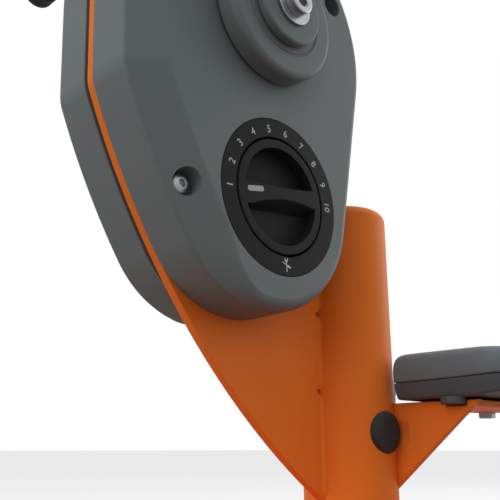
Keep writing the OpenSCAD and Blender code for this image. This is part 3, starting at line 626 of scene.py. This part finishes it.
def scoop_tool(pinch, cut):
    """Tool for the lower scoop: a cup on one side of the bar's wall, which a cut pinches."""
    profile = [(0, 3.0), (SCOOP_R + 0.4, 3.0), (SCOOP_R + 0.4, 0.0), (SCOOP_R + 0.1, -0.1),
               (SCOOP_R, -0.4)]
    profile += eased([(SCOOP_R, -1.5, 0), (SCOOP_R, -SCOOP_DEPTH, 0.7), (0, -SCOOP_DEPTH, 0)],
                     8)[1:]
    bowl = turned(profile, (0, 0, 0), (0, 0, 1), 128)
    bm = bmesh.new()
    depths = [-3.0, 0.0, 0.05, 0.15, 0.3, 0.5, 2.0, 4.0, 6.0, 7.9, 8.1, 8.3, 8.47, 9.5]
    xs = [-32 + i for i in range(65)]
    top = [[bm.verts.new((x, -bar_wall(x, max(0, min(SCOOP_DEPTH, d)), pinch, cut), -d))
            for x in xs] for d in depths]
    low = [[bm.verts.new((x, -40, -d)) for x in xs] for d in depths]
    for grid in (top, low):
        for a, b in zip(grid, grid[1:]):
            for i in range(len(xs) - 1):
                bm.faces.new((a[i], a[i + 1], b[i + 1], b[i]))
    for k in (0, -1):
        for i in range(len(xs) - 1):
            bm.faces.new((top[k][i], top[k][i + 1], low[k][i + 1], low[k][i]))
    for i in (0, -1):
        for a, b, c, d in zip(top, top[1:], low, low[1:]):
            bm.faces.new((a[i], b[i], d[i], c[i]))
    bmesh.ops.recalc_face_normals(bm, faces=bm.faces)
    side = bpy.data.meshes.new("side")
    bm.to_mesh(side)
    bm.free()
    side.transform(Matrix.Scale(0.001, 4))
    return carve(side, [bowl], "INTERSECT")


disc = turned(eased([(0, 0, 0), (KNOB_R, 0, 0.6), (KNOB_R, -KNOB_DEPTH, 0.5),
                     (0, -KNOB_DEPTH, 0)]), (0, 0, 0), (0, 0, 1), 192)
lower = scoop_tool(1.6, 82)
upper = scoop_tool(5.2, 300)
upper.transform(Matrix.Rotation(math.pi, 4, "Z"))
knob = carve(disc, [lower, upper])
facing = (Matrix.Translation(Vector((DIAL_X, -FACE_Y, DIAL_Z)) * 0.001)
          @ Matrix.Rotation(math.pi / 2, 4, "X") @ Matrix.Rotation(math.radians(KNOB_LEAN), 4, "Z"))
knob.transform(facing)
assemble("dial_knob", [knob], dial_plastic, "dial", ["dial_knob"], 30)

bar = [(5.0 * a + 1.2 * math.cos(math.radians(t)), 0.4 * b + 1.2 * math.sin(math.radians(t)))
       for a, b, t0 in ((1, 1, 0), (-1, 1, 90), (-1, -1, 180), (1, -1, 270))
       for t in (t0, t0 + 22.5, t0 + 45, t0 + 67.5, t0 + 90)]
pointer = cut_plate([bar], "Z", -1.0, 0.1, 0.1)
pointer.transform(Matrix.Translation(Vector((DIAL_X - 20.5, -FACE_Y, DIAL_Z - 0.5)) * 0.001)
                  @ Matrix.Rotation(math.pi / 2, 4, "X")
                  @ Matrix.Rotation(math.radians(12), 4, "Z"))
pointer_plastic = grained("pointer_plastic", colour(150, 150, 148), mottle=0.02, patch_mm=8,
                          rough=0.42, rough_swing=0.04, grain_mm=0.4, relief_mm=0.005)
assemble("dial_pointer", [pointer], pointer_plastic, "dial", ["dial_pointer"])

# ---- Dial works inside the casing ----
# The knob's spindle ends in a cut pinion that drives the anchor slide's rack. A leaf spring
# drops into a notched disc at each number. These parts are turned or stamped steel.

bronze = grained("bush_bronze", colour(176, 132, 74), mottle=0.06, patch_mm=10, rough=0.34,
                 rough_swing=0.06, grain_mm=0.8, relief_mm=0.006, metal=1.0)
for node, finish in (("dial_spindle", bright_steel), ("spindle_bush", bronze),
                     ("detent_disc", zinc_steel), ("detent_spring", bright_steel),
                     ("anchor_slide", zinc_steel), ("anchor_pin", bright_steel),
                     ("guide_screws", zinc_steel), ("load_spring", bright_steel)):
    dress(node, finish)

# ---- Pivot ----
# A tube welded through the frame plate holds two flanged bronze bushes, and the shaft turns
# in them. The spring arm and a collar are fixed on the shaft, between rubber bumpers.

dress("pivot_tube", orange_paint)
dress("pivot_bushes", bronze)
for node in ("pivot_shaft", "shaft_collar", "arm_pin"):
    dress(node, bright_steel)
dress("spring_arm", zinc_steel)
grip_rubber = grained("grip_rubber", colour(38, 38, 40), mottle=0.06, patch_mm=16, rough=0.68,
                      rough_swing=0.06, grain_mm=0.5, relief_mm=0.03, specular=0.35)
dress("stop_bumpers", grip_rubber)

# ---- Hubs and levers ----
# A moulded hub on each end of the shaft stands just off the casing. A flat lever is bolted
# on it and shares its finish, and a socket head bolt with a washer holds the stack.

PIVOT = (-113.2, 350.0)
for end, side in (("front", -1), ("rear", 1)):
    disc = turned(eased([(10.2, 40.3, 0), (42, 40.3, 0.8), (42, 53.3, 4.0), (29, 53.3, 0.3),
                         (28.4, 52.6, 0.3), (27.6, 52.6, 0.3), (27, 53.3, 0.3), (10.2, 53.3, 0)]),
                  (PIVOT[0], 0, PIVOT[1]), (0, side, 0), 144)
    assemble("hub_" + end, [disc], shell_plastic, "levers", ["hub_" + end], 30)
    low, high = sorted((side * 53.3, side * 59.3))
    arm = cut_plate(flat_outlines("lever_" + end, "Y", side * 59.3), "Y", low, high, 1.6)
    assemble("lever_" + end, [arm], shell_plastic, "levers", ["lever_" + end])

bolts = []
for side in (-1, 1):
    centre = (PIVOT[0], 0, PIVOT[1])
    out = (0, side, 0)
    bolts.append(turned(eased([(5.2, 59.3, 0), (13, 59.3, 0.3), (13, 61.3, 0.4), (5.2, 61.3, 0)]),
                        centre, out, 72))
    head = turned(eased([(0, 67.3, 0), (8.5, 67.3, 0.9), (8.5, 61.3, 0.3), (5, 61.3, 0),
                         (5, 36, 0), (0, 36, 0)]), centre, out, 72)
    bolts.append(carve(head, [hexagon(8.0, 62.6, 70, centre, out),
                              turned([(0, 67.6), (5.1, 67.6), (4.6, 66.7), (0, 64)], centre, out,
                                     48)]))
assemble("hub_bolts", bolts, bright_steel, "levers", ["hub_bolts"], 30)

# ---- Moving grips ----
# A steel rod in the end of each lever carries a rubber sleeve with a flange at its inner
# end, shallow finger grooves and fine ribs between them. A rubber cap closes it.

dress("grip_rods", bright_steel)
GRIP_START = 63.0
GRIP_END = 173.0
CAP_END = 179.0
GROOVE_PITCH = 21.5
RIB_PITCH = 2.4
RIB_RISE = 0.22


def sleeve(x, z, bore, radius, side):
    """Ribbed rubber sleeve on a rod or bar along Y, from its flange to its cap."""
    profile = [(bore, GRIP_START), (radius + 2.0, GRIP_START), (radius + 2.45, GRIP_START + 0.5),
               (radius + 2.45, GRIP_START + 3.0), (radius + 2.0, GRIP_START + 3.7),
               (radius + 0.2, GRIP_START + 4.2)]
    steps = 440
    for i in range(steps + 1):
        y = GRIP_START + 4.5 + (GRIP_END - GRIP_START - 5.5) * i / steps
        wave = min(abs(y - GRIP_START - 14 - k * GROOVE_PITCH) for k in range(5))
        groove = math.sqrt(max(0, 4 - wave * wave)) - 0.9 if wave < 1.79 else 0
        near = min(1, max(0, (wave - 3.0) / 1.5))
        rib = RIB_RISE * near * (0.5 + 0.5 * math.cos(math.tau * y / RIB_PITCH))
        profile.append((radius - max(0, groove) - RIB_RISE * near + rib - 0.01, y))
    profile += [(radius - 0.4, GRIP_END - 0.4), (radius - 0.9, GRIP_END), (bore, GRIP_END)]
    return turned(profile, (x, 0, z), (0, side, 0), 72)


def grip_cap(x, z, radius, side):
    """Domed rubber cap with a shallow dish in its end."""
    return turned(eased([(0, CAP_END - 0.9, 0), (radius - 6, CAP_END - 0.9, 1.5),
                         (radius - 4.4, CAP_END, 0.8), (radius - 0.1, CAP_END, 3.0),
                         (radius - 0.1, GRIP_END + 0.1, 0.4), (0, GRIP_END + 0.1, 0)], 8),
                  (x, 0, z), (0, side, 0), 72)


LEVER = 117.5
REST = math.radians(22.3)
GRIP_AT = (PIVOT[0] - LEVER * math.sin(REST), PIVOT[1] + LEVER * math.cos(REST))
for end, side in (("front", -1), ("rear", 1)):
    assemble("moving_grip_" + end, [sleeve(*GRIP_AT, 6.0, 13.0, side)], grip_rubber, "levers",
             ["moving_grip_" + end], 50)
assemble("moving_grip_caps", [grip_cap(*GRIP_AT, 13.0, side) for side in (-1, 1)], grip_rubber,
         "levers", ["moving_grip_caps"], 35)

# ---- Handle bar and fixed grips ----
# A steel tube through the top of the frame plate. The palms push on two fixed sleeves of
# the same rubber, a little thicker than the moving ones, and a plug closes each end.

BAR_AT = (-100.0, 466.0)
dress("handle_bar", bright_steel)
for end, side in (("front", -1), ("rear", 1)):
    assemble("fixed_grip_" + end, [sleeve(*BAR_AT, 11.0, 14.0, side)], grip_rubber, "frame",
             ["fixed_grip_" + end], 50)
assemble("handle_plugs", [grip_cap(*BAR_AT, 14.0, side) for side in (-1, 1)], grip_rubber,
         "frame", ["handle_plugs"], 35)

# ---- Elbow pads ----
# Foam pads with a smooth moulded skin, dark blue grey. The top is crowned and rolls over
# into the sides, and a parting line runs round the side above the tray.

PAD_X = 1.5
PAD_FAR = 122.0
PAD_IN = 34.5
PAD_W = 80.5
POST_SIDE = 0.35
PAD_LOW = 142.6
PAD_TOP = 163.0
PART_RISE = 2.4


def even_steps(points, spacing=3.0):
    """The same closed line with more points along its straight runs."""
    out = []
    for p, q in zip(points, points[1:] + points[:1]):
        length = math.dist(p, q)
        count = max(1, int(length / spacing))
        out += [(p[0] + (q[0] - p[0]) * k / count, p[1] + (q[1] - p[1]) * k / count)
                for k in range(count)]
    return out


def pad_line(inset):
    """The pad's outline from above, drawn in by an inset, but less on the post's side."""
    corners = ((PAD_X, -PAD_IN, 2.5), (PAD_X, -PAD_IN - PAD_W, 22.0),
               (PAD_FAR, -PAD_IN - PAD_W, 22.0), (PAD_FAR, -PAD_IN, 22.0))
    points = []
    for i, (x, y, r) in enumerate(corners):
        cx = x + (r if x == PAD_X else -r)
        cy = y - (r if y == -PAD_IN else -r)
        for step in range(11):
            a = math.radians((90, 180, 270, 0)[i] + 9 * step)
            points.append((cx + r * math.cos(a), cy + r * math.sin(a)))
    middle = (PAD_X + PAD_FAR) / 2
    narrow = 1 - inset / (PAD_FAR - middle)
    shallow = 1 - inset * (1 + POST_SIDE) / PAD_W
    return [(middle + (x - middle) * narrow,
             -PAD_IN - inset * POST_SIDE + (y + PAD_IN) * shallow) for x, y in even_steps(points)]


def pad_cushion():
    """The cushion: rolled sides, drawn in at its foot, and a crown on top."""
    rows = [(0.1, 1.5), (0.35, 0.9), (0.9, 0.45), (2.4, 0.1), (5.0, 0.0), (7.5, 0.12),
            (9.8, 0.45), (12.0, 1.0), (13.8, 1.9), (15.3, 3.1), (16.6, 4.8), (17.6, 6.9),
            (18.4, 9.5), (19.0, 12.8), (19.5, 17.0), (19.9, 22.5), (20.2, 29.0)]
    bm = bmesh.new()
    rings = []
    for h, inset in rows:
        ring = []
        for x, y in pad_line(inset):
            rise = PART_RISE * ((-PAD_IN - y) / PAD_W) ** 2 * max(0, 1 - h / 12)
            ring.append(bm.verts.new((x, y, PAD_LOW + h + rise)))
        rings.append(ring)
    count = len(rings[0])
    for a, b in zip(rings, rings[1:]):
        for i in range(count):
            j = (i + 1) % count
            bm.faces.new((a[i], a[j], b[j], b[i]))
    bm.faces.new(list(reversed(rings[0])))
    crown = bm.verts.new(((PAD_X + PAD_FAR) / 2, -PAD_IN - PAD_W / 2, PAD_TOP - 0.02))
    for i in range(count):
        bm.faces.new((rings[-1][i], rings[-1][(i + 1) % count], crown))
    bmesh.ops.recalc_face_normals(bm, faces=bm.faces)
    mesh = bpy.data.meshes.new("cushion")
    bm.to_mesh(mesh)
    bm.free()
    mesh.transform(Matrix.Scale(0.001, 4))
    return mesh


pad_skin = grained("pad_skin", colour(99, 105, 109), mottle=0.04, patch_mm=45, rough=0.62,
                   rough_swing=0.06, grain_mm=0.7, relief_mm=0.04, specular=0.25)
for end, side in (("front", 1), ("rear", -1)):
    cushion = pad_cushion()
    if side < 0:
        cushion.transform(Matrix.Scale(-1, 4, (0, 1, 0)))
        cushion.flip_normals()
    piece = assemble("pad_" + end, [cushion], pad_skin, "frame", ["pad_" + end], 60)

# ---- Pad trays ----
# A moulded plastic tray under each pad. It tapers inwards to its foot, has a rolled lip
# under the cushion, a round boss below its inner corner and four screw feet.

# The tray's grey is darker than the pad skin's. That darker tone is painted shade: it stands for the
# shade on the pad's lower side, which faces down.
tray_plastic = grained("tray_plastic", colour(72, 76, 79), mottle=0.04, patch_mm=40, rough=0.55,
                       rough_swing=0.05, grain_mm=0.6, relief_mm=0.02, specular=0.25)
TRAY_LOW = 132.2
PAD_SCREWS = ((30, -46), (30, -64), (88, -52), (88, -76))
BOSS = (8.5, -72.5)
TRAY_FOOT_RISE = 3.0


def tray_mesh():
    """The tray's tapered body; its boss and screw feet are added to it where the trays are built."""
    rows = [(0.0, 4.6), (0.15, 3.7), (0.6, 2.9), (1.4, 2.3), (5.0, 1.3), (8.8, 0.6), (9.5, 0.5),
            (9.95, 0.7), (10.2, 1.2)]
    bm = bmesh.new()
    rings = []
    for h, inset in rows:
        ring = []
        for x, y in pad_line(inset):
            out = (-PAD_IN - y) / PAD_W
            low = TRAY_FOOT_RISE * ramp((out - 0.6) / 0.4) * (1 - h / 10.4)
            high = PART_RISE * out ** 2 * h / 10.4
            ring.append(bm.verts.new((x, y, TRAY_LOW + h + low + high)))
        rings.append(ring)
    count = len(rings[0])
    for a, b in zip(rings, rings[1:]):
        for i in range(count):
            j = (i + 1) % count
            bm.faces.new((a[i], a[j], b[j], b[i]))
    bm.faces.new(list(reversed(rings[0])))
    bm.faces.new(rings[-1])
    bmesh.ops.recalc_face_normals(bm, faces=bm.faces)
    mesh = bpy.data.meshes.new("tray")
    bm.to_mesh(mesh)
    bm.free()
    mesh.transform(Matrix.Scale(0.001, 4))
    return mesh


for end, side in (("front", 1), ("rear", -1)):
    parts = [tray_mesh()]
    parts.append(turned(eased([(0, -4, 0), (3.2, -4, 0.2), (3.5, -3.4, 0.2), (4.6, -3.4, 0.2),
                               (4.9, -4, 0.2), (7.45, -4, 0.9), (7.45, 0.5, 0), (0, 0.5, 0)]),
                        (BOSS[0], BOSS[1], TRAY_LOW), (0, 0, 1), 64))
    for x, y in PAD_SCREWS:
        parts.append(turned(eased([(3.1, -1.35, 0), (6.5, -1.35, 0.3), (6.5, 0.5, 0),
                                   (3.1, 0.5, 0)]), (x, y, TRAY_LOW), (0, 0, 1), 48))
    if side < 0:
        for mesh in parts:
            mesh.transform(Matrix.Scale(-1, 4, (0, 1, 0)))
            mesh.flip_normals()
    assemble("pad_tray_" + end, parts, tray_plastic, "frame", ["pad_tray_" + end],
             35)

# ---- Pad brackets ----
# Each tray sits on a steel bracket: an upright wing welded to the post, and a flange on top
# that four hexagon screws go up through. They are coated orange with the frame.

FLANGE_TOP = 130.8


def bracket(side):
    """Wing and flange of one bracket, cleared round the bolt cap and the tray's boss."""
    wing = cut_plate([[(-20, FLANGE_TOP), (-87, FLANGE_TOP), (-20, FLANGE_TOP - 57)]],
                     "X", 12, 17, 0.7)
    flange = cut_plate([[(12, -20), (12, -86), (91, -86), (96, -84.5), (98.6, -81), (100, -76),
                         (100, -52), (98.6, -47), (96, -43.5), (91, -42), (60, -34), (30, -22),
                         (26, -20)]], "Z", FLANGE_TOP - 4, FLANGE_TOP, 0.7)
    both = carve(wing, [flange], "UNION")
    tools = [turned([(0, 20), (14, 20), (14, 38), (0, 38)], (0, 0, 112.7), (0, -1, 0), 64),
             turned([(0, -5), (8.0, -5), (8.0, 4), (0, 4)], (*BOSS, TRAY_LOW), (0, 0, 1), 48),
             turned([(0, 60), (29.0, 60), (29.0, 140), (0, 140)], (0, 0, 0), (0, 0, 1), 96)]
    tools += [turned([(0, -14), (3.3, -14), (3.3, 4), (0, 4)], (x, y, TRAY_LOW), (0, 0, 1), 32)
              for x, y in PAD_SCREWS]
    made = carve(both, tools)
    if side < 0:
        made.transform(Matrix.Scale(-1, 4, (0, 1, 0)))
        made.flip_normals()
    return made


for end, side in (("front", 1), ("rear", -1)):
    assemble("pad_bracket_" + end, [bracket(side)], orange_paint, "frame",
             ["pad_bracket_" + end], 35)

screws = []
for side in (1, -1):
    for x, y in PAD_SCREWS:
        low = (x, y * side, FLANGE_TOP - 4)
        head = hexagon(9.5, -4, 0, low, (0, 0, 1))
        dome = turned([(0, -4.0), (4.4, -4.0), (5.6, -3.4), (5.6, 0.5), (0, 0.5)], low, (0, 0, 1),
                      48)
        screws.append(carve(head, [dome], "INTERSECT"))
        screws.append(turned([(0, -1), (2.95, -1), (2.95, 8), (0, 8)], low, (0, 0, 1), 32))
assemble("pad_screws", screws, zinc_steel, "frame", ["pad_screws"], 25)

# ---- Cross bolt and its caps ----
# A bolt through the post pins the frame plate's lower tab. A domed black cap is pressed
# over each end and sits close on the round of the tube.

dress("cross_bolt", zinc_steel)
caps = []
for side in (-1, 1):
    caps.append(turned(eased([(0, 33.7, 0), (8.5, 33.4, 6.0), (12.6, 31.2, 2.5), (13.5, 28.8, 0.6),
                              (13.5, 24.0, 0), (0, 24.0, 0)], 8),
                       (0, 0, 112.7), (0, side, 0), 96))
assemble("cross_bolt_caps", caps, grip_rubber, "frame", ["cross_bolt_caps"],
         40)

# ---- Bench top, light and camera ----
# The station stands on a plain pale bench top that keeps its shadow. Soft lamps stand at
# the left, at the right and above, and the surroundings are evenly white.

bench = bpy.data.meshes.new("bench_top")
bench.from_pydata([(-30, -30, 0), (30, -30, 0), (30, 30, 0), (-30, 30, 0)], [], [(0, 1, 2, 3)])
bench_top = bpy.data.objects.new("bench_top", bench)
bpy.context.scene.collection.objects.link(bench_top)
bench_white = bpy.data.materials.new("bench_white")
bench_white.use_nodes = True
nodes = bench_white.node_tree.nodes
link = bench_white.node_tree.links.new
paint = nodes["Principled BSDF"]
paint.inputs["Roughness"].default_value = 0.9
glow = nodes.new("ShaderNodeEmission")
glow.inputs["Color"].default_value = (1, 1, 1, 1)
glow.inputs["Strength"].default_value = 1
rays = nodes.new("ShaderNodeLightPath")
seen = nodes.new("ShaderNodeMath")
seen.operation = "MAXIMUM"
share = nodes.new("ShaderNodeMath")
share.operation = "MULTIPLY"
share.inputs[1].default_value = 0.5
tone = nodes.new("ShaderNodeMapRange")
tone.inputs["To Min"].default_value = 0.2
tone.inputs["To Max"].default_value = 0.8
mixed = nodes.new("ShaderNodeMixShader")
link(rays.outputs["Is Camera Ray"], tone.inputs["Value"])
link(tone.outputs["Result"], paint.inputs["Base Color"])
link(rays.outputs["Is Camera Ray"], seen.inputs[0])
link(rays.outputs["Is Glossy Ray"], seen.inputs[1])
link(seen.outputs[0], share.inputs[0])
link(share.outputs[0], mixed.inputs["Fac"])
link(paint.outputs[0], mixed.inputs[1])
link(glow.outputs[0], mixed.inputs[2])
link(mixed.outputs[0], nodes["Material Output"].inputs["Surface"])
bench.materials.append(bench_white)

world = bpy.data.worlds.new("surroundings")
bpy.context.scene.world = world
world.use_nodes = True
nodes = world.node_tree.nodes
link = world.node_tree.links.new
soft = nodes["Background"]
soft.inputs["Color"].default_value = (1, 1, 1, 1)
soft.inputs["Strength"].default_value = 0.75
white = nodes.new("ShaderNodeBackground")
white.inputs["Color"].default_value = (1, 1, 1, 1)
white.inputs["Strength"].default_value = 1.0
rays = nodes.new("ShaderNodeLightPath")
seen = nodes.new("ShaderNodeMath")
seen.operation = "MAXIMUM"
glass = nodes.new("ShaderNodeMath")
glass.operation = "MAXIMUM"
mixed = nodes.new("ShaderNodeMixShader")
link(rays.outputs["Is Camera Ray"], seen.inputs[0])
link(rays.outputs["Is Transmission Ray"], seen.inputs[1])
link(seen.outputs[0], glass.inputs[0])
link(rays.outputs["Is Glossy Ray"], glass.inputs[1])
link(glass.outputs[0], mixed.inputs["Fac"])
link(soft.outputs[0], mixed.inputs[1])
link(white.outputs[0], mixed.inputs[2])
link(mixed.outputs[0], nodes["World Output"].inputs["Surface"])

LAMPS_AIM = (-0.06, 0, 0.25)
for name, place, power, size in (("left_lamp", (-1.6, 0.1, 0.9), 9, 1.2),
                                 ("right_lamp", (1.4, -0.4, 0.8), 8, 1.2),
                                 ("top_lamp", (0.1, -0.3, 1.9), 6, 1.4)):
    lamp = bpy.data.lights.new(name, "AREA")
    lamp.energy = power
    lamp.size = size
    held = bpy.data.objects.new(name, lamp)
    held.location = place
    turn = Vector(LAMPS_AIM) - Vector(place)
    held.rotation_euler = turn.to_track_quat("-Z", "Y").to_euler()
    bpy.context.scene.collection.objects.link(held)

lens = bpy.data.cameras.new("camera")
lens.lens = 50.4
lens.sensor_width = 36
lens.clip_start = 0.01
camera = bpy.data.objects.new("camera", lens)
aim = Vector((0.6706, 0.6900, 0.2727)).normalized()
right = Vector((0.7171, -0.6970, 0.0)).normalized()
upward = right.cross(aim).normalized()
camera.matrix_world = Matrix.Translation((-0.3756, -0.2938, 0.1029)) @ Matrix(
    (right, upward, -aim)).transposed().to_4x4()
bpy.context.scene.collection.objects.link(camera)
bpy.context.scene.camera = camera
bpy.context.scene.view_settings.view_transform = "Standard"
